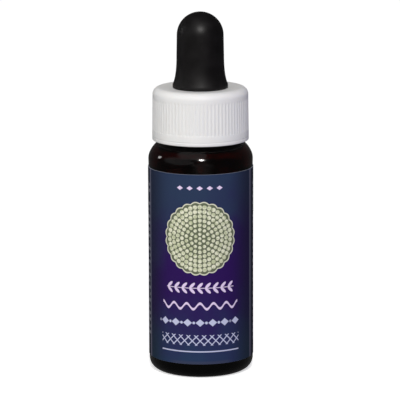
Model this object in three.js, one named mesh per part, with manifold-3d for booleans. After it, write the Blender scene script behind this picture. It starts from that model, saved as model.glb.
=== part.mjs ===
// Dropper bottle: an amber glass bottle with a wrapped label, a white ribbed screw cap, a rubber bulb
// whose flange seals the lip, and a glass pipette that dips into the contents.
// Millimetres. +Z is up, the axis is Z, the origin is the middle of the base and the label faces -Y.

import * as THREE from 'three';
import { mergeVertices } from 'three/addons/utils/BufferGeometryUtils.js';
import Module from 'manifold-3d';

const wasm = await Module();
wasm.setup();

// Driving dimensions
const BODY_R = 9.88;
const WALL = 1.38;
const HEEL_R = 2.2;
const STAND_INNER_R = 6.2;
const PUSH_UP = 0.9;
const PUSH_UP_SHAPE = 0.7;
const FLOOR_Z = 2.2;
const FLOOR_CROWN = 0.2;
const INNER_HEEL_R = 2.2;
const SHOULDER_Z = 40.76;
const SHOULDER_R = 3.16;
const SHOULDER_BREAK = 24.5; // degrees up from level, where the flatter upper arc takes over
const SHOULDER_UPPER_R = 4.9;
const SHOULDER_SWEEP = 60;
const INNER_SHOULDER_R = 2.2;

const NECK_R = 6.5;
const BORE_R = 4.4;
const NECK_ROOT_Z = 45.6;
const LIP_Z = 51.95;
const LIP_OUTER_ROUND = 0.5;
const LIP_INNER_ROUND = 0.4;
const BORE_BOTTOM_Z = 44.9;

const THREAD_PITCH = 25.4 / 12;
const NECK_THREAD_R = 0.75;
const NECK_THREAD_Z = 46.6;
const NECK_THREAD_TURNS = 1.5;
const CAP_THREAD_R = 0.6;
const CAP_THREAD_TURNS = 1.25;

const CAP_R = 9.02;
const CAP_DRAFT = 0.12;
const CAP_BOTTOM_Z = 44.43;
const CAP_TOP_Z = 54.42;
const CAP_INNER_R = 7.55;
const CAP_DECK = 1.3;
const CAP_DECK_UNDER_Z = CAP_TOP_Z - CAP_DECK;
const CAP_DISH = 0.2;
const CAP_RIM_ROUND = 1.3;
const CAP_FOOT_ROUND = 0.2;
const CAP_FOOT_CHAMFER = 0.25;
const CAP_CORNER_ROUND = 0.5;
const CAP_HOLE_R = 4.35;
const RIB_COUNT = 78;
const RIB_DEPTH = 0.08;
const RIB_CREST_R = CAP_R - 0.01;
const RIB_GROOVE_R = CAP_R - RIB_DEPTH;
const RIB_BOTTOM_Z = 46.3;
const RIB_TOP_Z = 52.7;

const BULB_R = 4.41;
const BULB_LIP_R = 5.22;
const BULB_LIP_ROUND = 0.15;
const BULB_FLARE_Z = 54.95;
const BULB_FLARE_CONTROL_Z = 56.5;
const BULB_WAIST_Z = 60.4;
const BULB_WAIST_R = 4.48;
const BULB_DOME_Z = 64.26;
const BULB_WALL = 1.25;
const BULB_FLANGE_R = 6.4;
const BULB_FLANGE_ROUND = 0.3;

const TUBE_R = 3.2;
const TUBE_BORE_R = 2.2;
const TUBE_TOP_Z = 57.25;
const TUBE_BEAD_R = 3.5;
const TUBE_BEAD_HEIGHT = 1.1;
const TUBE_BEAD_ROUND = 0.3;
const TUBE_TAPER_Z = 13.0;
const TUBE_TAPER_MIDDLE_Z = 8.5;
const TIP_Z = 4.0;
const TIP_R = 1.15;
const TIP_EDGE = 0.2;
const TIP_BORE_R = 0.55;
const TIP_BORE_LENGTH = 1.2;

const LABEL_BOTTOM_Z = 2.96;
const LABEL_TOP_Z = 39.36;
const LABEL_THICKNESS = 0.08;
const LABEL_GAP_FACETS = 2;

const LEVEL_Z = 38.4;
const MENISCUS = 0.5;

const SEAT = 0.03; // pieces that press together
const CLEARANCE = 0.15; // pieces that slide past each other
const FACETS = 48;
const TUBE_FACETS = 24;

// Profile helpers: points are (radius, height)
const at = (r, z) => new THREE.Vector2(r, z);

function arc(centre, radius, fromDeg, toDeg, steps) {
  const points = [];
  for (let i = 0; i <= steps; i += 1) {
    const angle = THREE.MathUtils.degToRad(fromDeg + ((toDeg - fromDeg) * i) / steps);
    points.push(at(centre.x + radius * Math.cos(angle), centre.y + radius * Math.sin(angle)));
  }
  return points;
}

function bend(from, control, to, steps) {
  return new THREE.QuadraticBezierCurve(from, control, to).getPoints(steps);
}

function withoutRepeats(points) {
  return points.filter((point, i) => i === 0 || point.distanceTo(points[i - 1]) > 1e-6);
}

// A profile turned round the Z axis. It runs outwards from the bottom, up the outside and back inside.
function turned(profile, facets = FACETS) {
  const geometry = new THREE.LatheGeometry(withoutRepeats(profile), facets);
  geometry.rotateX(Math.PI / 2);
  return geometry;
}

function closedProfile(points) {
  return [...points, points[0].clone()];
}

// Joining solids
function toSolid(geometry) {
  const bare = geometry.clone();
  bare.deleteAttribute('normal');
  bare.deleteAttribute('uv');
  const welded = mergeVertices(bare, 1e-5);
  const triangles = [];
  const index = welded.index.array;
  for (let i = 0; i < index.length; i += 3) {
    const [a, b, c] = index.slice(i, i + 3);
    if (a !== b && b !== c && c !== a) triangles.push(a, b, c);
  }
  const mesh = new wasm.Mesh({
    numProp: 3,
    vertProperties: new Float32Array(welded.attributes.position.array),
    triVerts: new Uint32Array(triangles),
  });
  return new wasm.Manifold(mesh);
}

function toGeometry(solid) {
  const mesh = solid.getMesh();
  const geometry = new THREE.BufferGeometry();
  geometry.setAttribute('position', new THREE.BufferAttribute(mesh.vertProperties, mesh.numProp));
  geometry.setIndex(new THREE.BufferAttribute(mesh.triVerts, 1));
  geometry.computeVertexNormals();
  return geometry;
}

// A right-hand helix whose ends run out into the wall that carries the thread.
class ThreadPath extends THREE.Curve {
  constructor({ radius, startZ, turns, sink }) {
    super();
    this.radius = radius;
    this.startZ = startZ;
    this.turns = turns;
    this.sink = sink;
  }

  getPoint(t, target = new THREE.Vector3()) {
    const runOut = 0.08;
    const fromEnd = Math.min(t, 1 - t) / runOut;
    const buried = 1 - THREE.MathUtils.smoothstep(fromEnd, 0, 1);
    const radius = this.radius + this.sink * buried;
    const angle = 2 * Math.PI * this.turns * t;
    const z = this.startZ + THREAD_PITCH * this.turns * t;
    return target.set(radius * Math.cos(angle), radius * Math.sin(angle), z);
  }
}

function threadRidge(path, ridgeR) {
  const section = new THREE.Shape().absarc(0, 0, ridgeR, 0, 2 * Math.PI);
  return new THREE.ExtrudeGeometry(section, {
    steps: Math.round(path.turns * 36),
    curveSegments: 8,
    extrudePath: path,
  });
}

// Sub-parts

// The shoulder's outside: a tight arc off the body, then a wider one that meets it without a kink.
function outerShoulder() {
  const lowerCentre = at(BODY_R - SHOULDER_R, SHOULDER_Z);
  const breakAngle = THREE.MathUtils.degToRad(SHOULDER_BREAK);
  const towardsBreak = at(Math.cos(breakAngle), Math.sin(breakAngle));
  const upperCentre = lowerCentre.clone().addScaledVector(towardsBreak, SHOULDER_R - SHOULDER_UPPER_R);
  return [
    ...arc(lowerCentre, SHOULDER_R, 0, SHOULDER_BREAK, 3),
    ...arc(upperCentre, SHOULDER_UPPER_R, SHOULDER_BREAK, SHOULDER_SWEEP, 4),
  ];
}

function bottleGeometry() {
  const innerR = BODY_R - WALL;
  const shoulder = outerShoulder();
  const shoulderEnd = shoulder.at(-1);
  const rise = (shoulderEnd.x - NECK_R) / Math.tan(THREE.MathUtils.degToRad(SHOULDER_SWEEP));
  const innerShoulder = arc(at(innerR - INNER_SHOULDER_R, SHOULDER_Z), INNER_SHOULDER_R, 90, 0, 4);
  const profile = [
    ...bend(at(0, PUSH_UP), at(PUSH_UP_SHAPE * STAND_INNER_R, PUSH_UP), at(STAND_INNER_R, 0), 4),
    ...arc(at(BODY_R - HEEL_R, HEEL_R), HEEL_R, -90, 0, 5),
    ...shoulder,
    ...bend(shoulderEnd, at(NECK_R, shoulderEnd.y + rise), at(NECK_R, NECK_ROOT_Z), 3),
    ...arc(at(NECK_R - LIP_OUTER_ROUND, LIP_Z - LIP_OUTER_ROUND), LIP_OUTER_ROUND, 0, 90, 2),
    ...arc(at(BORE_R + LIP_INNER_ROUND, LIP_Z - LIP_INNER_ROUND), LIP_INNER_ROUND, 90, 180, 2),
    ...bend(at(BORE_R, BORE_BOTTOM_Z), at(BORE_R, innerShoulder[0].y), innerShoulder[0], 3),
    ...innerShoulder,
    ...arc(at(innerR - INNER_HEEL_R, FLOOR_Z + INNER_HEEL_R), INNER_HEEL_R, 0, -90, 4),
    at(0, FLOOR_Z + FLOOR_CROWN),
  ];
  const path = new ThreadPath({
    radius: NECK_R,
    startZ: NECK_THREAD_Z,
    turns: NECK_THREAD_TURNS,
    sink: -NECK_THREAD_R,
  });
  const thread = toSolid(threadRidge(path, NECK_THREAD_R));
  return toGeometry(toSolid(turned(profile)).add(thread));
}

// A film bent round the body on the same facets, open for a narrow strip at the back.
function labelGeometry() {
  const innerR = BODY_R + SEAT;
  const outerR = innerR + LABEL_THICKNESS;
  const step = (2 * Math.PI) / FACETS;
  const spans = FACETS - LABEL_GAP_FACETS;
  const firstAngle = Math.PI / 2 + (LABEL_GAP_FACETS / 2) * step;
  const ring = (r, i) => at(r * Math.cos(firstAngle + i * step), r * Math.sin(firstAngle + i * step));
  const outer = Array.from({ length: spans + 1 }, (_, i) => ring(outerR, i));
  const inner = Array.from({ length: spans + 1 }, (_, i) => ring(innerR, spans - i));
  const geometry = new THREE.ExtrudeGeometry(new THREE.Shape([...outer, ...inner]), {
    depth: LABEL_TOP_Z - LABEL_BOTTOM_Z,
    bevelEnabled: false,
  });
  return geometry.translate(0, 0, LABEL_BOTTOM_Z);
}

// How far the draft moves the cap's outside out at this height. It grows from the rim down to the foot.
function capDraft(z) {
  return (CAP_DRAFT * (CAP_TOP_Z - z)) / (CAP_TOP_Z - CAP_BOTTOM_Z);
}

// The cap's deck falls a little from the rim to the hole.
function deckHeight(r) {
  const rimInnerR = CAP_R - CAP_RIM_ROUND;
  return CAP_TOP_Z - (CAP_DISH * (rimInnerR - r)) / (rimInnerR - CAP_HOLE_R);
}

// The grip: a ring whose outline steps between rib crests and the grooves between them.
function gripRing() {
  const overlap = 0.05;
  const sinkDepth = 0.4;
  const endInset = 0.06;
  const grooveR = RIB_GROOVE_R - overlap;
  const sunkR = RIB_GROOVE_R - sinkDepth;
  const corners = [[0.12, grooveR], [0.32, RIB_CREST_R], [0.68, RIB_CREST_R], [0.88, grooveR]];
  const points = [];
  for (let rib = 0; rib < RIB_COUNT; rib += 1) {
    for (const [share, r] of corners) {
      const angle = (2 * Math.PI * (rib + share)) / RIB_COUNT;
      points.push(at(r * Math.cos(angle), r * Math.sin(angle)));
    }
  }
  const outline = new THREE.Shape(points);
  outline.holes.push(new THREE.Path().absarc(0, 0, sunkR, 0, 2 * Math.PI));
  const ring = new THREE.ExtrudeGeometry(outline, {
    depth: RIB_TOP_Z - RIB_BOTTOM_Z - 2 * endInset,
    bevelEnabled: false,
    curveSegments: FACETS / 2,
  });
  ring.translate(0, 0, RIB_BOTTOM_Z + endInset);
  const position = ring.attributes.position;
  const corner = new THREE.Vector3();
  for (let i = 0; i < position.count; i += 1) {
    corner.fromBufferAttribute(position, i);
    const stretch = 1 + capDraft(corner.z) / Math.hypot(corner.x, corner.y);
    position.setXY(i, corner.x * stretch, corner.y * stretch);
  }
  return ring;
}

function capGeometry() {
  const footCentre = at(CAP_R - CAP_FOOT_ROUND, CAP_BOTTOM_Z + CAP_FOOT_ROUND);
  const rimCentre = at(CAP_R - CAP_RIM_ROUND, CAP_TOP_Z - CAP_RIM_ROUND);
  const cornerCentre = at(CAP_INNER_R - CAP_CORNER_ROUND, CAP_DECK_UNDER_Z - CAP_CORNER_ROUND);
  const outside = [
    ...arc(footCentre, CAP_FOOT_ROUND, -90, 0, 3),
    at(CAP_R, RIB_BOTTOM_Z),
    at(RIB_GROOVE_R, RIB_BOTTOM_Z + RIB_DEPTH),
    at(RIB_GROOVE_R, RIB_TOP_Z - RIB_DEPTH),
    at(CAP_R, RIB_TOP_Z),
    ...arc(rimCentre, CAP_RIM_ROUND, 0, 90, 5),
  ];
  const profile = [
    at(CAP_INNER_R, CAP_BOTTOM_Z + CAP_FOOT_CHAMFER),
    at(CAP_INNER_R + CAP_FOOT_CHAMFER, CAP_BOTTOM_Z),
    ...outside.map((point) => at(point.x + capDraft(point.y), point.y)),
    at(CAP_HOLE_R, deckHeight(CAP_HOLE_R)),
    at(CAP_HOLE_R, CAP_DECK_UNDER_Z),
    ...arc(cornerCentre, CAP_CORNER_ROUND, 90, 0, 2),
  ];
  const path = new ThreadPath({
    radius: CAP_INNER_R,
    startZ: NECK_THREAD_Z - THREAD_PITCH / 2,
    turns: CAP_THREAD_TURNS,
    sink: CAP_THREAD_R,
  });
  const shell = toSolid(turned(closedProfile(profile)));
  const thread = toSolid(threadRidge(path, CAP_THREAD_R));
  return toGeometry(shell.add(toSolid(gripRing())).add(thread));
}

// The bulb's groove holds the deck's edge, and its flange below the deck seals the lip.
function bulbGeometry() {
  const play = 0.1;
  const leadIn = 0.5;
  const boreR = TUBE_R + SEAT;
  const beadSpaceR = TUBE_BEAD_R + SEAT;
  const beadSpaceTop = TUBE_TOP_Z + SEAT;
  const beadSpaceBottom = beadSpaceTop - TUBE_BEAD_HEIGHT - play;
  const innerDomeR = BULB_R - BULB_WALL;
  const lipBottom = deckHeight(BULB_LIP_R) + SEAT;
  const flangeTop = CAP_DECK_UNDER_Z - SEAT;
  const flangeBottom = LIP_Z + SEAT;
  const flangeEdgeR = BULB_FLANGE_R - BULB_FLANGE_ROUND;
  const lipCentre = at(BULB_LIP_R - BULB_LIP_ROUND, lipBottom + BULB_LIP_ROUND);
  const flareStart = at(BULB_LIP_R, BULB_FLARE_Z);
  const flareControl = at(BULB_WAIST_R, BULB_FLARE_CONTROL_Z);
  const profile = [
    ...arc(at(0, BULB_DOME_Z), innerDomeR, 90, 0, 5),
    at(innerDomeR, beadSpaceTop),
    at(beadSpaceR, beadSpaceTop),
    at(beadSpaceR, beadSpaceBottom),
    at(boreR, beadSpaceBottom - leadIn),
    at(boreR, flangeBottom),
    ...arc(at(flangeEdgeR, flangeBottom + BULB_FLANGE_ROUND), BULB_FLANGE_ROUND, -90, 0, 1),
    ...arc(at(flangeEdgeR, flangeTop - BULB_FLANGE_ROUND), BULB_FLANGE_ROUND, 0, 90, 1),
    at(CAP_HOLE_R - SEAT, flangeTop),
    at(CAP_HOLE_R - SEAT, lipBottom),
    ...arc(lipCentre, BULB_LIP_ROUND, -90, 0, 1),
    ...bend(flareStart, flareControl, at(BULB_WAIST_R, BULB_WAIST_Z), 5),
    ...arc(at(0, BULB_DOME_Z), BULB_R, 0, 90, 8),
  ];
  return turned(profile);
}

// The tube tapers from its full radius to the tip along this bend.
function taper(fullR, tipR, tipZ, steps) {
  return bend(at(fullR, TUBE_TAPER_Z), at(fullR, TUBE_TAPER_MIDDLE_Z), at(tipR, tipZ), steps);
}

function pipetteGeometry() {
  const beadBottom = TUBE_TOP_Z - TUBE_BEAD_HEIGHT;
  const beadCentre = at(TUBE_BEAD_R - TUBE_BEAD_ROUND, TUBE_TOP_Z - TUBE_BEAD_ROUND);
  const profile = [
    at(TIP_BORE_R, TIP_Z),
    at(TIP_R - TIP_EDGE, TIP_Z),
    ...taper(TUBE_R, TIP_R, TIP_Z + TIP_EDGE, 5).reverse(),
    at(TUBE_R, beadBottom - TUBE_BEAD_ROUND),
    at(TUBE_BEAD_R, beadBottom),
    ...arc(beadCentre, TUBE_BEAD_ROUND, 0, 90, 2),
    at(TUBE_BORE_R + TUBE_BEAD_ROUND, TUBE_TOP_Z),
    at(TUBE_BORE_R, TUBE_TOP_Z - TUBE_BEAD_ROUND),
    ...taper(TUBE_BORE_R, TIP_BORE_R, TIP_Z + TIP_BORE_LENGTH, 5),
  ];
  return turned(closedProfile(profile), TUBE_FACETS);
}

// The contents fill the bottle to its level, with a hole that the pipette lifts out of.
function liquidGeometry() {
  const outerR = BODY_R - WALL - SEAT;
  const innerHeelCentre = at(BODY_R - WALL - INNER_HEEL_R, FLOOR_Z + INNER_HEEL_R);
  const holeR = TUBE_R + CLEARANCE;
  const climb = LEVEL_Z + MENISCUS;
  const reach = 2 * MENISCUS;
  const holeBottom = TIP_Z - CLEARANCE;
  const profile = [
    at(0, FLOOR_Z + FLOOR_CROWN + SEAT),
    ...arc(innerHeelCentre, INNER_HEEL_R - SEAT, -90, 0, 4),
    ...bend(at(outerR, climb), at(outerR, LEVEL_Z), at(outerR - reach, LEVEL_Z), 2),
    ...bend(at(holeR + reach, LEVEL_Z), at(holeR, LEVEL_Z), at(holeR, climb), 2),
    ...taper(holeR, TIP_R + CLEARANCE, holeBottom, 5),
    at(0, holeBottom),
  ];
  return turned(profile);
}

// Finishes
const amberGlass = new THREE.MeshStandardMaterial({ color: 0x1f0f0a, roughness: 0.08, metalness: 0 });
const printedFilm = new THREE.MeshStandardMaterial({ color: 0x2a2450, roughness: 0.35, metalness: 0 });
const whitePlastic = new THREE.MeshStandardMaterial({ color: 0xe4e4e3, roughness: 0.4, metalness: 0 });
const blackRubber = new THREE.MeshStandardMaterial({ color: 0x1c1a1b, roughness: 0.6, metalness: 0 });
const clearGlass = new THREE.MeshStandardMaterial({ color: 0xdfe8e8, roughness: 0.05, metalness: 0 });
const contents = new THREE.MeshStandardMaterial({ color: 0xe8e2cf, roughness: 0.02, metalness: 0 });

function named(name, geometry, material) {
  const mesh = new THREE.Mesh(geometry, material);
  mesh.name = name;
  return mesh;
}

const dropperBottle = new THREE.Group();
dropperBottle.add(
  named('bottle', bottleGeometry(), amberGlass),
  named('label', labelGeometry(), printedFilm),
  named('liquid', liquidGeometry(), contents),
);

const closure = new THREE.Group();
closure.add(
  named('cap', capGeometry(), whitePlastic),
  named('bulb', bulbGeometry(), blackRubber),
  named('pipette', pipetteGeometry(), clearGlass),
);
dropperBottle.add(closure);

export default dropperBottle;
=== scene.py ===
"""The looks of the dropper bottle: fine meshes, materials, floor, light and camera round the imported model.

Lengths in this script are millimetres and angles degrees, turned into metres and radians where Blender is
called. Angles round the axis start at the front (-Y) and grow towards +X.
"""

import math

import bpy
from mathutils import Matrix, Vector


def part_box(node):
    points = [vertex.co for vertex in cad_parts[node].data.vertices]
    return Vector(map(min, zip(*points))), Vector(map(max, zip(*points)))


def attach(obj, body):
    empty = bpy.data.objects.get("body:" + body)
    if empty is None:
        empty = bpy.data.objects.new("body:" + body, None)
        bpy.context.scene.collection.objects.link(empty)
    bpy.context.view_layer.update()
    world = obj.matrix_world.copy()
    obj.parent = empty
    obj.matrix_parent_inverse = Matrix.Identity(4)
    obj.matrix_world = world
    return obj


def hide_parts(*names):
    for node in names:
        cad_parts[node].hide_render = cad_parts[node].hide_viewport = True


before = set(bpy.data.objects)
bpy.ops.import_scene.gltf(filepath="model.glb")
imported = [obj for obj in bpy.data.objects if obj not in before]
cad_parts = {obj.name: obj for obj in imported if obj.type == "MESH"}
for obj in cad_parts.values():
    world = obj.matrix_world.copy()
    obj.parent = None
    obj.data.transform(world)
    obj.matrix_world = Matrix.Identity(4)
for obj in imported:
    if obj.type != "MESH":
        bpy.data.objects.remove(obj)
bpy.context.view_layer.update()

MM = 0.001
TURN = 2 * math.pi


def reach(node):
    """A node's outer radius, lowest height and highest height."""
    low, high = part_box(node)
    return high.x / MM, low.z / MM, high.z / MM


# Sizes from the imported model's parts
BODY_R, _, LIP_Z = reach("bottle")
LABEL_R, LABEL_BOTTOM_Z, LABEL_TOP_Z = reach("label")
CAP_FOOT_R, CAP_BOTTOM_Z, CAP_TOP_Z = reach("cap")
FLANGE_R, FLANGE_BOTTOM_Z, BULB_TOP_Z = reach("bulb")
BEAD_R, TIP_Z, TUBE_TOP_Z = reach("pipette")
LIQUID_R, _, LIQUID_TOP_Z = reach("liquid")

# Sizes inside those boxes
WALL = 1.38
HEEL_R = 2.2
STAND_INNER_R = 6.2
PUSH_UP = 0.9
FLOOR_Z = 2.2
FLOOR_CROWN = 0.2
INNER_HEEL_R = 2.2
SHOULDER_Z = 40.76
SHOULDER_R = 3.16
SHOULDER_BREAK = 24.5
SHOULDER_UPPER_R = 4.9
SHOULDER_SWEEP = 60
INNER_SHOULDER_R = 2.2
NECK_R = 6.5
BORE_R = 4.4
BORE_BOTTOM_Z = 44.9
NECK_ROOT_Z = 45.6
LIP_ROUND = 0.5
LIP_INNER_ROUND = 0.4
SEAM_HEIGHT = 0.025
SEAM_HALF_WIDTH = 0.2

PITCH = 25.4 / 12
NECK_THREAD = {"start_z": 46.6, "turns": 1.5, "height": 0.75}
CAP_THREAD = {"start_z": 46.6 - PITCH / 2, "turns": 1.25, "height": 0.6}
THREAD_START = 0.25  # in turns from the front
THREAD_HALF_WIDTH = 1.1  # in thread heights
THREAD_FULLNESS = 0.75
THREAD_RUN_OUT = 0.08  # at each end, in lengths of the thread

CAP_DRAFT = 0.12
CAP_R = CAP_FOOT_R - CAP_DRAFT
CAP_INNER_R = 7.55
CAP_DECK = 1.3
CAP_DISH = 0.2
CAP_RIM_ROUND = 1.3
CAP_FOOT_ROUND = 0.2
CAP_FOOT_INNER_ROUND = 0.25
CAP_CORNER_ROUND = 0.5
CAP_HOLE_R = 4.35
RIBS = 78
RIB_DEPTH = 0.08
RIB_BOTTOM_Z = 46.3
RIB_TOP_Z = 52.7
RIB_FOOT = 0.25
RIB_FADE = 0.6
STEP_Z = 45.12
STEP_DEPTH = 0.06
STEP_HALF_HEIGHT = 0.12

BULB_R = 4.41
BULB_LIP_R = 5.22
BULB_WAIST_R = 4.48
BULB_WAIST_Z = 60.4
BULB_FLARE_Z = 54.95
BULB_FLARE_CONTROL_Z = 56.5
BULB_WALL = 1.25
SEAT = 0.03

TUBE_R = 3.2
TUBE_BORE_R = 2.2
TAPER_Z = 13.0
TAPER_MIDDLE_Z = 8.5
TIP_R = 1.15
TIP_BORE_R = 0.55
TIP_ROUND = 0.2
BEAD_HEIGHT = 1.1

LIQUID_PLAY = 0.15
LIQUID_CLIMB = 0.5

LABEL_GAP = 15.0  # degrees
LABEL_SEGMENTS = 230


# Profiles: lists of (radius, height), from the bottom outwards, up the outside and back inside
def arc(centre_r, centre_z, radius, start, end, steps=12):
    """Points on a circle, from the angle start to the angle end; 0 points outwards and 90 up."""
    turns = [math.radians(start + (end - start) * i / steps) for i in range(steps + 1)]
    return [(centre_r + radius * math.cos(t), centre_z + radius * math.sin(t)) for t in turns]


def bend(a, control, b, steps=12):
    """Points on a curve from a to b that heads for control and then turns away."""
    points = []
    for i in range(steps + 1):
        t = i / steps
        shares = ((1 - t) ** 2, 2 * t * (1 - t), t**2)
        points.append(tuple(sum(s * p[k] for s, p in zip(shares, (a, control, b))) for k in (0, 1)))
    return points


def line(a, b, longest):
    """Points on a straight line, at most longest apart."""
    steps = max(1, math.ceil(math.dist(a, b) / longest))
    return [tuple(a[k] + (b[k] - a[k]) * i / steps for k in (0, 1)) for i in range(steps + 1)]


def tidy(points):
    """The points without those that repeat the one before."""
    return [p for i, p in enumerate(points) if i == 0 or math.dist(p, points[i - 1]) > 1e-6]


def smooth(t):
    """0 up to 0, 1 from 1 on, and an S-curve between them."""
    t = min(max(t, 0.0), 1.0)
    return t * t * (3 - 2 * t)


def thread_height(angle, z, start_z, turns, height):
    """How far a right-hand thread stands out of its wall at this place."""
    turn = (angle / TURN - THREAD_START) % 1.0
    found = 0.0
    while turn <= turns:
        offset = (z - start_z - PITCH * turn) / (THREAD_HALF_WIDTH * height)
        if abs(offset) < 1:
            run_out = smooth(min(turn, turns - turn) / (THREAD_RUN_OUT * turns))
            found = max(found, height * run_out * (1 - offset**2) ** THREAD_FULLNESS)
        turn += 1
    return found


# Meshes
def revolve(profile, segments, shape=None, closed=False, start=0.0, sweep=360.0):
    """Vertices, faces and each face's place along the profile, for a profile turned round the axis.

    shape(r, z, angle) gives a point's radius where it isn't r. A part turn gets flat end faces."""
    whole = sweep >= 360
    columns = segments + (0 if whole else 1)
    angles = [math.radians(start + sweep * j / segments) for j in range(columns)]
    vertices = []
    rings = []
    for r, z in profile:
        if r < 1e-6:
            rings.append([len(vertices)] * columns)
            vertices.append((0.0, 0.0, z * MM))
            continue
        rings.append([len(vertices) + j for j in range(columns)])
        for a in angles:
            reached = shape(r, z, a) if shape else r
            vertices.append((reached * math.sin(a) * MM, -reached * math.cos(a) * MM, z * MM))
    spans = len(rings) if closed else len(rings) - 1
    faces = []
    places = []
    for i in range(spans):
        low, high = rings[i], rings[(i + 1) % len(rings)]
        for j in range(segments):
            k = (j + 1) % columns
            corners = list(dict.fromkeys((low[j], low[k], high[k], high[j])))
            faces.append(corners)
            places.append(i)
    if not whole:
        faces.append([ring[0] for ring in rings])
        faces.append([ring[-1] for ring in reversed(rings)])
        places += [spans, spans]
    return vertices, faces, places


def piece(name, parts, materials, body, node, sharp=35.0, second=()):
    """A shown piece that stands for a CAD node. Faces at the profile places in second get materials[1]."""
    vertices, faces, places = parts
    mesh = bpy.data.meshes.new(name)
    mesh.from_pydata(vertices, [], faces)
    for material in materials:
        mesh.materials.append(material)
    for polygon, place in zip(mesh.polygons, places):
        polygon.material_index = 1 if place in second else 0
    mesh.shade_smooth()
    mesh.set_sharp_from_angle(angle=math.radians(sharp))
    mesh.update()
    obj = bpy.data.objects.new(name, mesh)
    bpy.context.scene.collection.objects.link(obj)
    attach(obj, body)
    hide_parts(node)
    return obj


# Shader building
def srgb(r, g, b):
    """A colour given as it looks on screen, from 0 to 255, as Blender's linear values."""
    shares = [c / 255 for c in (r, g, b)]
    return tuple(c / 12.92 if c <= 0.04045 else ((c + 0.055) / 1.055) ** 2.4 for c in shares) + (1.0,)


class Field:
    """A number that varies over a surface. Arithmetic on it adds Math nodes."""

    def __init__(self, tree, socket):
        self.tree = tree
        self.socket = socket

    def put(self, socket, value):
        if isinstance(value, Field):
            self.tree.links.new(value.socket, socket)
        else:
            socket.default_value = value

    def math(self, operation, *others):
        node = self.tree.nodes.new("ShaderNodeMath")
        node.operation = operation
        for socket, value in zip(node.inputs, (self, *others)):
            self.put(socket, value)
        return Field(self.tree, node.outputs[0])

    def __add__(self, other):
        return self.math("ADD", other)

    def __sub__(self, other):
        return self.math("SUBTRACT", other)

    def __mul__(self, other):
        return self.math("MULTIPLY", other)

    def __truediv__(self, other):
        return self.math("DIVIDE", other)

    def __abs__(self):
        return self.math("ABSOLUTE")

    def rest(self):
        return self.math("MULTIPLY_ADD", -1.0, 1.0)

    def top(self, other):
        return self.math("MAXIMUM", other)

    def rounded(self):
        return self.math("ROUND")

    def hypot(self, other):
        return (self * self + other * other).math("SQRT")

    def ramp(self, low, high, to_low=0.0, to_high=1.0):
        node = self.tree.nodes.new("ShaderNodeMapRange")
        node.interpolation_type = "SMOOTHSTEP"
        values = (self, low, high, to_low, to_high)
        for socket, value in zip(node.inputs, values):
            self.put(socket, value)
        return Field(self.tree, node.outputs[0])

    def within(self, limit, soft=0.04):
        """1 where the number lies between -limit and limit, with a soft edge."""
        return abs(self).ramp(limit + soft, limit - soft)


class Material:
    """A Principled material under construction."""

    def __init__(self, name, **settings):
        self.material = bpy.data.materials.new(name)
        self.material.use_nodes = True
        self.tree = self.material.node_tree
        self.shader = self.tree.nodes["Principled BSDF"]
        for key, value in settings.items():
            self.shader.inputs[key.replace("_", " ")].default_value = value

    def node(self, kind, **inputs):
        made = self.tree.nodes.new("ShaderNode" + kind)
        for key, value in inputs.items():
            made.inputs[key.replace("_", " ")].default_value = value
        return made

    def place(self):
        """The piece's own X, Y and Z in millimetres."""
        coordinates = self.node("TexCoord")
        split = self.node("SeparateXYZ")
        self.tree.links.new(coordinates.outputs["Object"], split.inputs[0])
        return [Field(self.tree, socket) * (1 / MM) for socket in split.outputs]

    def noise(self, size, detail=2.0, stretch=(1, 1, 1)):
        """Noise from 0 to 1 whose blobs are about size mm across."""
        coordinates = self.node("TexCoord")
        mapping = self.node("Mapping")
        mapping.inputs["Scale"].default_value = stretch
        noise = self.node("TexNoise", Scale=1 / (size * MM), Detail=detail)
        self.tree.links.new(coordinates.outputs["Object"], mapping.inputs["Vector"])
        self.tree.links.new(mapping.outputs[0], noise.inputs["Vector"])
        return Field(self.tree, noise.outputs["Fac"])

    def mix(self, share, a, b):
        """Colour a where share is 0, b where it is 1. Each is a colour or a socket."""
        node = self.node("Mix")
        node.data_type = "RGBA"
        self.tree.links.new(share.socket, node.inputs[0])
        for socket, value in ((node.inputs[6], a), (node.inputs[7], b)):
            if isinstance(value, bpy.types.NodeSocket):
                self.tree.links.new(value, socket)
            else:
                socket.default_value = value
        return node.outputs[2]

    def colour(self, socket):
        self.tree.links.new(socket, self.shader.inputs["Base Color"])

    def roughness(self, field):
        self.tree.links.new(field.socket, self.shader.inputs["Roughness"])

    def absorb(self, per_mm):
        """What the inside takes away from each colour, as an exponent for each mm of the way through."""
        most = max(per_mm)
        kept = tuple(1 - share / most for share in per_mm)
        node = self.node("VolumeAbsorption", Color=(*kept, 1.0), Density=most / MM)
        self.tree.links.new(node.outputs[0], self.tree.nodes["Material Output"].inputs["Volume"])

    def bump(self, field, height):
        """Raises the surface by height mm where field is 1."""
        node = self.node("Bump", Distance=height * MM)
        self.tree.links.new(field.socket, node.inputs["Height"])
        self.tree.links.new(node.outputs[0], self.shader.inputs["Normal"])


# Materials
def amber_glass():
    made = Material(
        "amber_glass",
        Base_Color=(0.35, 0.12, 0.1, 1.0),
        Transmission_Weight=1.0,
        Roughness=0.11,
        IOR=1.39,
    )
    made.absorb((1.1, 1.6, 1.65))
    _, y, _ = made.place()
    waves = made.noise(6.0, detail=1.0)
    seam = y.within(0.12, 0.1) * 0.5
    made.bump(waves + seam, 0.02)
    return made.material


def clear_glass():
    made = Material(
        "clear_glass",
        Base_Color=(0.95, 0.98, 0.98, 1.0),
        Transmission_Weight=1.0,
        Roughness=0.0,
        IOR=1.47,
    )
    made.bump(made.noise(5.0, stretch=(1, 1, 0.2)), 0.01)
    return made.material


def straw_liquid():
    colour = (0.96, 0.93, 0.84, 1.0)
    made = Material("straw_liquid", Base_Color=colour, Transmission_Weight=1.0, Roughness=0.0, IOR=1.34)
    return made.material


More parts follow.
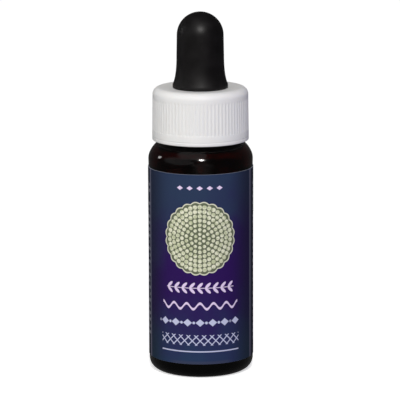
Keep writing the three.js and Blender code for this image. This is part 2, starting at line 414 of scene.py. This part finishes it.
def white_plastic():
    made = Material(
        "white_plastic",
        Subsurface_Weight=0.6,
        Subsurface_Radius=(1.0, 0.95, 0.9),
        Subsurface_Scale=0.5 * MM,
        IOR=1.49,
    )
    flow = made.noise(4.0, stretch=(1, 1, 0.4))
    grain = made.noise(0.18)
    made.colour(made.mix(flow, srgb(229, 229, 228), srgb(235, 235, 235)))
    made.roughness(grain.ramp(0.3, 0.7, 0.5, 0.6))
    made.bump(grain, 0.006)
    return made.material


def black_rubber():
    made = Material("black_rubber", IOR=1.5, Specular_IOR_Level=0.25)
    grain = made.noise(0.12, detail=3.0)
    bloom = made.noise(2.5, detail=4.0)
    made.colour(made.mix(bloom.ramp(0.35, 0.7), srgb(12, 10, 11), srgb(18, 16, 17)))
    _, _, z = made.place()
    made.roughness(bloom.ramp(0.3, 0.7, 0.41, 0.49) + z.ramp(58.0, 55.5, 0.0, 0.1))
    made.bump(grain, 0.012)
    return made.material


def paper_edge():
    made = Material("paper_edge", Roughness=0.7)
    fibres = made.noise(0.1, stretch=(1, 1, 3))
    made.colour(made.mix(fibres, srgb(120, 124, 140), srgb(150, 154, 168)))
    return made.material


# The label's print, with painted shade towards the bottle's sides and a painted highlight along the foot at the
# front. Places on it are (u, v): u runs round the label from the front, v is the height.
# The front panel, the strips beside it and the print on the side panels, in degrees from the front
PANEL_LEFT = -69.5
PANEL_RIGHT = 66.4
PANEL_SOFT = 0.3
STRIP_MIDDLE = 2.2  # from the panel's edge
STRIP_HALF_WIDTH = 1.9
SIDES_MIDDLE = 2.5
SIDES_START = 75.5
SIDES_END = 163.0
# The rosette's middle, and the heights of the print on the side panels, in millimetres
ART_U = -0.2
ART_V = 27.2
SIDES_V = 21.0
SIDES_HALF_HEIGHT = 15.5
LAVENDER = srgb(226, 208, 240)
PALE_BLUE = srgb(198, 202, 232)
CREAM = srgb(228, 228, 206)
SAGE = srgb(108, 116, 88)


def cell(field, pitch):
    """The distance from the middle of the nearest of equal cells, and that cell's number."""
    number = (field / pitch).rounded()
    return field - number * pitch, number


def row_of(u, v, height, pitch, count):
    """Cell coordinates of a row of repeats, and a mask that keeps the row to count of them."""
    across, number = cell(u, pitch)
    return across, v - height, number.within(count / 2, 0.01)


def diamonds(u, v, height, pitch, count, wide, tall):
    x, y, kept = row_of(u, v, height, pitch, count)
    return (abs(x) / wide + abs(y) / tall).ramp(1.08, 0.92) * kept


def dots(u, v, height, pitch, count, radius):
    x, y, kept = row_of(u, v, height, pitch, count)
    return x.hypot(y).ramp(radius + 0.04, radius - 0.04) * kept


def rule(u, v, height, half_length, half_width):
    return (v - height).within(half_width) * u.within(half_length)


def wave(u, v, height, half_length, length, swing, half_width):
    crest = (u * (TURN / length)).math("COSINE") * swing
    return (v - height - crest).within(half_width, 0.05) * u.within(half_length)


def laurel(u, v, height, pitch, count):
    """Pairs of leaves that lean outwards from a stem."""
    slant = 0.7071
    x, y, kept = row_of(u, v, height, pitch, count)
    rise = abs(y) - 0.5
    along = (x + rise) * slant
    across = (rise - x) * slant
    leaf = (along / 0.72).hypot(across / 0.27).ramp(1.1, 0.9)
    return leaf.top(y.within(0.07)) * kept


def trellis(u, v, height, half_length, half_height, pitch):
    one, _ = cell(u + v, pitch)
    other, _ = cell(u - v, pitch)
    bars = one.within(0.13, 0.05).top(other.within(0.13, 0.05))
    return bars * (v - height).within(half_height) * u.within(half_length)


def rosette(u, v):
    """Rings of round beads, six more in each ring than in the one inside it, in a scalloped border."""
    pitch = 0.86
    rings = 7
    x = u - ART_U
    y = v - ART_V
    radius = x.hypot(y)
    angle = y.math("ARCTAN2", x)
    ring = (radius / pitch).rounded()
    share, _ = cell(angle * (6 / TURN) * ring + ring * 0.5, 1.0)
    bead = (share * (TURN / 6 * pitch)).hypot(radius - ring * pitch)
    swell = ring.ramp(0.0, rings, 0.3, 0.41)
    beads = (bead - swell).ramp(0.05, -0.05) * (ring - rings).math("LESS_THAN", 0.5)
    scallop = abs((angle * 12).math("SINE")) * 0.32 + (rings + 0.75) * pitch
    border = (radius - scallop).within(0.11, 0.05)
    ground = (radius - scallop).ramp(0.05, -0.05)
    return ground, beads, border


def scatter(field):
    """A number from 0 to 1 that looks random from one whole number to the next."""
    return (field.math("SINE") * 43758.5).math("FRACT")


def fine_print(u, v):
    """Rows of short dashes, as on the sides of any label."""
    rows, row = cell(v, 1.25)
    shift = scatter(row * 12.9898)
    dashes, number = cell(u + shift * 3, 0.62)
    kept = scatter(number * 78.233 + row * 37.719).math("GREATER_THAN", 0.22)
    return rows.within(0.3, 0.08) * dashes.within(0.24, 0.06) * kept


def label_print_and_painted_light():
    made = Material("label_print_and_painted_light", IOR=1.45, Specular_IOR_Level=0.08)
    x, y, v = made.place()
    angle = x.math("ARCTAN2", y * -1.0)
    degrees = angle * (360 / TURN)
    u = angle * LABEL_R

    clouds = made.noise(6.0, detail=3.0)
    height = v + (clouds - 0.5) * 16.0
    low = made.mix(height.ramp(0.0, 18.0), srgb(42, 61, 92), srgb(46, 22, 87))
    tilted = height - u * 0.3
    field = made.mix(tilted.ramp(21.0, 38.0), low, srgb(44, 58, 86))
    # Painted shade: the print darkens towards the bottle's sides, where the light falls off, to a dark teal low
    # down and a dark navy higher up.
    edge = abs(u + 0.4).ramp(5.5, 11.0)
    side_shade_colour = made.mix(v.ramp(5.0, 14.0), srgb(32, 46, 46), srgb(30, 32, 48))
    field = made.mix(edge * 0.6, field, side_shade_colour)
    # Painted highlight: a paler band along the label's foot at the front, where its lower edge catches the
    # light.
    foot_highlight = v.ramp(LABEL_BOTTOM_Z + 0.8, LABEL_BOTTOM_Z + 0.3) * abs(u).ramp(7.0, 4.5)
    field = made.mix(foot_highlight * 0.6, field, srgb(64, 67, 90))

    panel = degrees.ramp(PANEL_LEFT - PANEL_SOFT, PANEL_LEFT + PANEL_SOFT)
    panel = panel * degrees.ramp(PANEL_RIGHT + PANEL_SOFT, PANEL_RIGHT - PANEL_SOFT)
    beside = (degrees - SIDES_MIDDLE).within(SIDES_START).rest() * abs(degrees).within(SIDES_END)
    side_print = fine_print(u, v) * beside * (v - SIDES_V).within(SIDES_HALF_HEIGHT)
    side = made.mix(side_print * 0.8, srgb(44, 46, 60), srgb(150, 150, 160))
    colour = made.mix(panel, side, field)
    outside = abs(degrees - 0.5 * (PANEL_LEFT + PANEL_RIGHT)) - 0.5 * (PANEL_RIGHT - PANEL_LEFT)
    strips = (outside - STRIP_MIDDLE).within(STRIP_HALF_WIDTH, 0.5)
    colour = made.mix(strips, colour, srgb(96, 97, 116))

    ground, beads, scallops = rosette(u, v)
    grain = made.noise(0.5, detail=2.0)
    beads_colour = made.mix(grain.ramp(0.35, 0.65), CREAM, srgb(190, 196, 160))
    colour = made.mix(ground * 0.85, colour, SAGE)
    colour = made.mix(beads, colour, beads_colour)
    colour = made.mix(scallops * 0.9, colour, CREAM)

    art_u = u - ART_U
    upper = laurel(art_u, v, height=17.7, pitch=1.5, count=9)
    upper = upper.top(diamonds(art_u, v, height=36.8, pitch=1.9, count=5, wide=0.6, tall=0.42))
    upper = upper.top(wave(art_u, v, height=14.2, half_length=7.7, length=2.57, swing=0.55, half_width=0.24))
    lower = diamonds(art_u, v, height=11.0, pitch=2.4, count=7, wide=0.85, tall=0.72)
    lower = lower.top(dots(art_u + 1.2, v, height=11.0, pitch=2.4, count=6, radius=0.26))
    lower = lower.top(trellis(art_u, v, height=7.6, half_length=8.0, half_height=1.0, pitch=1.5))
    lower = lower.top(rule(art_u, v, height=5.4, half_length=8.0, half_width=0.12))
    colour = made.mix(upper, colour, LAVENDER)
    colour = made.mix(lower, colour, PALE_BLUE)
    made.colour(colour)
    made.roughness(grain.ramp(0.3, 0.7, 0.58, 0.68))
    made.bump(made.noise(0.25, detail=2.0), 0.004)
    return made.material


# Pieces
def seam_rise(angle):
    """How far the mould seams, one on each side, stand out."""
    from_front = abs((angle / TURN + 0.5) % 1.0 - 0.5)
    across = abs(from_front - 0.25) * TURN * BODY_R
    return SEAM_HEIGHT * math.exp(-((across / SEAM_HALF_WIDTH) ** 2))


def bottle_shape(r, z, angle):
    """The neck carries the thread, and the shoulder and heel the mould seams."""
    margin = 0.2
    on_neck = abs(r - NECK_R) < 1e-4 and NECK_ROOT_Z - margin < z < LIP_Z - LIP_ROUND + margin
    if on_neck:
        return r + thread_height(angle, z, **NECK_THREAD)
    clear_of_label = z > LABEL_TOP_Z + margin or z < LABEL_BOTTOM_Z - margin
    outside = r > NECK_R and (z > SHOULDER_Z or z < HEEL_R or r > BODY_R - 0.01)
    return r + (seam_rise(angle) if clear_of_label and outside else 0.0)


def make_bottle():
    inner_r = BODY_R - WALL
    lower_r = BODY_R - SHOULDER_R
    lower = arc(lower_r, SHOULDER_Z, SHOULDER_R, 0, SHOULDER_BREAK, 12)
    turn = math.radians(SHOULDER_BREAK)
    growth = SHOULDER_UPPER_R - SHOULDER_R
    upper_r = lower_r - growth * math.cos(turn)
    upper_z = SHOULDER_Z - growth * math.sin(turn)
    upper = arc(upper_r, upper_z, SHOULDER_UPPER_R, SHOULDER_BREAK, SHOULDER_SWEEP, 18)
    end_r, end_z = upper[-1]
    root_z = end_z + (end_r - NECK_R) / math.tan(math.radians(SHOULDER_SWEEP))
    inner_shoulder_r = inner_r - INNER_SHOULDER_R
    inner_top = SHOULDER_Z + INNER_SHOULDER_R
    bore_corner = (BORE_R, inner_top)
    profile = [
        *bend((0, PUSH_UP), (0.7 * STAND_INNER_R, PUSH_UP), (STAND_INNER_R, 0), 24),
        *arc(BODY_R - HEEL_R, HEEL_R, HEEL_R, -90, 0, 24),
        *line((BODY_R, LABEL_BOTTOM_Z - 0.1), (BODY_R, LABEL_TOP_Z + 0.1), longest=6.0),
        *lower,
        *upper,
        *bend((end_r, end_z), (NECK_R, root_z), (NECK_R, NECK_ROOT_Z), 10),
        *line((NECK_R, NECK_ROOT_Z), (NECK_R, LIP_Z - LIP_ROUND), longest=0.1),
        *arc(NECK_R - LIP_ROUND, LIP_Z - LIP_ROUND, LIP_ROUND, 0, 90, 8),
        *arc(BORE_R + LIP_INNER_ROUND, LIP_Z - LIP_INNER_ROUND, LIP_INNER_ROUND, 90, 180, 8),
        *bend((BORE_R, BORE_BOTTOM_Z), bore_corner, (inner_shoulder_r, inner_top), 12),
        *arc(inner_shoulder_r, SHOULDER_Z, INNER_SHOULDER_R, 90, 0, 16),
        *arc(inner_r - INNER_HEEL_R, FLOOR_Z + INNER_HEEL_R, INNER_HEEL_R, 0, -90, 16),
        (0, FLOOR_Z + FLOOR_CROWN),
    ]
    parts = revolve(tidy(profile), 192, bottle_shape)
    return piece("bottle_glass", parts, [amber_glass()], "bottle", "bottle")


def make_label():
    """A printed film on the glass, open for a narrow strip at the back. Its edges and back are bare paper."""
    outer = LABEL_R - 0.005
    inner = BODY_R + 0.004
    edge_round = 0.02
    profile = [
        (inner, LABEL_BOTTOM_Z),
        (outer - edge_round, LABEL_BOTTOM_Z),
        (outer, LABEL_BOTTOM_Z + edge_round),
        (outer, LABEL_TOP_Z - edge_round),
        (outer - edge_round, LABEL_TOP_Z),
        (inner, LABEL_TOP_Z),
    ]
    start = -180 + LABEL_GAP / 2
    parts = revolve(profile, LABEL_SEGMENTS, closed=True, start=start, sweep=360 - LABEL_GAP)
    materials = [label_print_and_painted_light(), paper_edge()]
    unprinted = (0, 1, 3, 4, 5, 6)
    return piece("label_print", parts, materials, "bottle", "label", second=unprinted)


def deck_height(r):
    """The cap's deck falls a little from the rim to the hole."""
    rim_inner_r = CAP_R - CAP_RIM_ROUND
    return CAP_TOP_Z - CAP_DISH * (rim_inner_r - r) / (rim_inner_r - CAP_HOLE_R)


def cap_shape(r, z, angle):
    """The thread on the inside wall, and outside the draft with ribs and grooves round the grip."""
    if abs(r - CAP_INNER_R) < 1e-4:
        return r - thread_height(angle, z, **CAP_THREAD)
    if r < CAP_INNER_R + CAP_FOOT_INNER_ROUND + 0.05:
        return r
    draft = CAP_DRAFT * (CAP_TOP_Z - z) / (CAP_TOP_Z - CAP_BOTTOM_Z)
    if r < CAP_R - 0.02 or not RIB_BOTTOM_Z <= z <= RIB_TOP_Z:
        return r + draft
    share = abs((angle / TURN * RIBS) % 1.0 - 0.5)
    groove = smooth((share - 0.1) / 0.3)
    ends = smooth((z - RIB_BOTTOM_Z) / RIB_FOOT) * smooth((RIB_TOP_Z - z) / RIB_FADE)
    return r + draft - RIB_DEPTH * groove * ends


def make_cap():
    under = CAP_TOP_Z - CAP_DECK
    edge = 0.12
    foot = CAP_FOOT_INNER_ROUND
    step_low = (CAP_R, STEP_Z - STEP_HALF_HEIGHT)
    step_high = (CAP_R, STEP_Z + STEP_HALF_HEIGHT)
    corner_z = under - CAP_CORNER_ROUND
    profile = [
        *arc(CAP_INNER_R + foot, CAP_BOTTOM_Z + foot, foot, 180, 270, 5),
        *arc(CAP_R - CAP_FOOT_ROUND, CAP_BOTTOM_Z + CAP_FOOT_ROUND, CAP_FOOT_ROUND, -90, 0, 8),
        *bend(step_low, (CAP_R - 2 * STEP_DEPTH, STEP_Z), step_high, 6),
        *line((CAP_R, RIB_BOTTOM_Z), (CAP_R, RIB_BOTTOM_Z + 0.4), longest=0.06),
        *line((CAP_R, RIB_TOP_Z - RIB_FADE), (CAP_R, RIB_TOP_Z), longest=0.06),
        *arc(CAP_R - CAP_RIM_ROUND, CAP_TOP_Z - CAP_RIM_ROUND, CAP_RIM_ROUND, 0, 90, 12),
        *arc(CAP_HOLE_R + edge, deck_height(CAP_HOLE_R + edge) - edge, edge, 90, 180, 4),
        *arc(CAP_HOLE_R + edge, under + edge, edge, 180, 270, 4),
        *arc(CAP_INNER_R - CAP_CORNER_ROUND, corner_z, CAP_CORNER_ROUND, 90, 0, 6),
        *line((CAP_INNER_R, corner_z), (CAP_INNER_R, CAP_BOTTOM_Z + 0.3), longest=0.15),
    ]
    parts = revolve(tidy(profile), RIBS * 8, cap_shape, closed=True)
    return piece("cap_shell", parts, [white_plastic()], "closure", "cap")


def make_bulb():
    dome_z = BULB_TOP_Z - BULB_R
    bore_r = TUBE_R + SEAT
    space_r = BEAD_R + SEAT
    space_top = TUBE_TOP_Z + SEAT
    space_bottom = space_top - 1.2
    neck_r = CAP_HOLE_R - SEAT
    lip_z = deck_height(BULB_LIP_R) + SEAT
    flange_top = CAP_TOP_Z - CAP_DECK - SEAT
    edge = 0.3
    lip_round = 0.15
    waist = (BULB_WAIST_R, BULB_WAIST_Z)
    flare = bend((BULB_LIP_R, BULB_FLARE_Z), (BULB_WAIST_R, BULB_FLARE_CONTROL_Z), waist, 24)
    profile = [
        *arc(0, dome_z, BULB_R - BULB_WALL, 90, 0, 20),
        (BULB_R - BULB_WALL, space_top),
        (space_r, space_top),
        (space_r, space_bottom),
        (bore_r, space_bottom - 0.5),
        (bore_r, FLANGE_BOTTOM_Z),
        *arc(FLANGE_R - edge, FLANGE_BOTTOM_Z + edge, edge, -90, 0, 6),
        *arc(FLANGE_R - edge, flange_top - edge, edge, 0, 90, 6),
        (neck_r, flange_top),
        (neck_r, lip_z),
        *arc(BULB_LIP_R - lip_round, lip_z + lip_round, lip_round, -90, 0, 6),
        *flare,
        *arc(0, dome_z, BULB_R, 0, 90, 32),
    ]
    parts = revolve(tidy(profile), 144)
    return piece("bulb_rubber", parts, [black_rubber()], "closure", "bulb")


def taper(full_r, tip_r, tip_z, steps=20):
    return bend((full_r, TAPER_Z), (full_r, TAPER_MIDDLE_Z), (tip_r, tip_z), steps)


def make_pipette():
    bead_z = TUBE_TOP_Z - BEAD_HEIGHT
    edge = 0.3
    profile = [
        (TIP_BORE_R, TIP_Z),
        *arc(TIP_R - TIP_ROUND, TIP_Z + TIP_ROUND, TIP_ROUND, -90, -20, 5),
        *reversed(taper(TUBE_R, TIP_R, TIP_Z + TIP_ROUND)),
        *bend((TUBE_R, bead_z - 1.5 * edge), (TUBE_R, bead_z), (BEAD_R, bead_z + edge), 6),
        *arc(BEAD_R - edge, TUBE_TOP_Z - edge, edge, 0, 90, 8),
        *arc(TUBE_BORE_R + edge, TUBE_TOP_Z - edge, edge, 90, 180, 8),
        *taper(TUBE_BORE_R, TIP_BORE_R, TIP_Z + 1.2),
    ]
    parts = revolve(tidy(profile), 72, closed=True)
    return piece("pipette_glass", parts, [clear_glass()], "dropper", "pipette")


def make_liquid():
    """The contents, which climb a little where they meet the glass, with a hole that the pipette stands in."""
    hole_r = TUBE_R + LIQUID_PLAY
    level = LIQUID_TOP_Z - LIQUID_CLIMB
    centre_r = BODY_R - WALL - INNER_HEEL_R
    hole_bottom = TIP_Z - LIQUID_PLAY
    outer = ((LIQUID_R, LIQUID_TOP_Z), (LIQUID_R, level), (LIQUID_R - 2 * LIQUID_CLIMB, level))
    inner = ((hole_r + 2 * LIQUID_CLIMB, level), (hole_r, level), (hole_r, LIQUID_TOP_Z))
    profile = [
        (0, FLOOR_Z + FLOOR_CROWN + SEAT),
        *arc(centre_r, FLOOR_Z + INNER_HEEL_R, INNER_HEEL_R - SEAT, -90, 0, 14),
        *bend(*outer, 8),
        *bend(*inner, 8),
        *taper(hole_r, TIP_R + LIQUID_PLAY, hole_bottom),
        (0, hole_bottom),
    ]
    parts = revolve(tidy(profile), 96)
    return piece("contents", parts, [straw_liquid()], "bottle", "liquid")


# Surroundings
CAMERA_SIDE = -0.14
CAMERA_BACK = 560.5
CAMERA_HEIGHT = 144.17
CAMERA_DOWN = 11.256
CAMERA_ROLL = -0.2
CAMERA_LENS = 270.7


def make_camera():
    data = bpy.data.cameras.new("camera")
    data.sensor_width = 36.0
    data.lens = CAMERA_LENS
    data.clip_start = 0.01
    camera = bpy.data.objects.new("camera", data)
    camera.location = Vector((CAMERA_SIDE, -CAMERA_BACK, CAMERA_HEIGHT)) * MM
    tilt = Matrix.Rotation(math.radians(90 - CAMERA_DOWN), 3, "X")
    roll = Matrix.Rotation(math.radians(CAMERA_ROLL), 3, "Z")
    camera.rotation_euler = (tilt @ roll).to_euler()
    bpy.context.scene.collection.objects.link(camera)
    bpy.context.scene.camera = camera


def softbox(name, azimuth, elevation, distance, width, height, power, colour=(1.0, 1.0, 1.0), rays="all"):
    """An oval of light that faces the middle of the bottle. Its rays are all, only soft or only glossy."""
    a = math.radians(azimuth)
    e = math.radians(elevation)
    outwards = Vector((math.sin(a) * math.cos(e), -math.cos(a) * math.cos(e), math.sin(e)))
    data = bpy.data.lights.new(name, "AREA")
    data.shape = "ELLIPSE"
    data.size = width * MM
    data.size_y = height * MM
    data.energy = power
    data.color = colour
    lamp = bpy.data.objects.new(name, data)
    lamp.visible_glossy = rays != "soft"
    lamp.visible_diffuse = rays != "glossy"
    lamp.location = Vector((0, 0, 0.5 * BULB_TOP_Z * MM)) + outwards * distance * MM
    lamp.rotation_euler = (-outwards).to_track_quat("-Z", "Y").to_euler()
    bpy.context.scene.collection.objects.link(lamp)


def by_ray(tree, socket, seen, mirrored, other):
    """Gives the socket one value where it is looked at, also through glass, one in reflections and one for
    soft light."""
    path = tree.nodes.new("ShaderNodeLightPath")
    looked_at = Field(tree, path.outputs["Is Camera Ray"]).top(Field(tree, path.outputs["Is Transmission Ray"]))
    glossy = Field(tree, path.outputs["Is Glossy Ray"])
    away = glossy * (mirrored - other) + other
    value = looked_at * seen + looked_at.rest() * away
    tree.links.new(value.socket, socket)


def make_world():
    """White behind the bottle and through its glass, and a dim grey room in its reflections."""
    world = bpy.data.worlds.new("studio")
    world.use_nodes = True
    background = world.node_tree.nodes["Background"]
    background.inputs["Color"].default_value = (1.0, 1.0, 1.0, 1.0)
    by_ray(world.node_tree, background.inputs["Strength"], seen=1.02, mirrored=0.06, other=0.24)
    bpy.context.scene.world = world


def make_floor():
    """A table top that is white with a faint shadow in the picture, and an even dark grey in the bottle's
    reflections."""
    half = 150 * MM
    below = 0.02 * MM
    corners = [(-half, -half), (half, -half), (half, half), (-half, half)]
    mesh = bpy.data.meshes.new("floor")
    mesh.from_pydata([(x, y, -below) for x, y in corners], [], [(0, 1, 2, 3)])
    material = bpy.data.materials.new("floor")
    material.use_nodes = True
    tree = material.node_tree
    shader = tree.nodes["Principled BSDF"]
    shader.inputs["Roughness"].default_value = 1.0
    shader.inputs["Specular IOR Level"].default_value = 0.0
    shader.inputs["Emission Color"].default_value = (1.0, 1.0, 1.0, 1.0)
    by_ray(tree, shader.inputs["Base Color"], seen=0.95, mirrored=0.0, other=0.2)
    by_ray(tree, shader.inputs["Emission Strength"], seen=0.6, mirrored=0.1, other=0.0)
    mesh.materials.append(material)
    floor = bpy.data.objects.new("floor", mesh)
    bpy.context.scene.collection.objects.link(floor)


def make_surroundings():
    make_camera()
    make_world()
    make_floor()
    # Name, azimuth, elevation, distance, width, height, power
    softbox("front", 2, 38, 620, 84, 44, 2.25, (1.0, 0.98, 0.96))
    softbox("halo", -30, 58, 620, 620, 460, 0.32, rays="glossy")
    softbox("room", -52, 20, 500, 700, 360, 0.19)
    softbox("left", -107, 17, 420, 62, 84, 0.1)
    softbox("fill", -62, 10, 500, 400, 400, 0.43, rays="soft")
    softbox("right", 64, 5, 500, 300, 400, 0.18, (0.15, 0.1, 1.0), rays="soft")
    softbox("low", 4, 2, 500, 400, 300, 0.45, (1.0, 0.99, 0.97), rays="soft")
    softbox("top", 0, 85, 500, 300, 300, 0.06, rays="soft")
    softbox("back", 178, 8, 500, 500, 400, 0.35, rays="soft")
    view = bpy.context.scene.view_settings
    view.view_transform = "Standard"
    view.look = "None"


make_bottle()
make_label()
make_liquid()
make_cap()
make_bulb()
make_pipette()
make_surroundings()

bpy.context.view_layer.update()
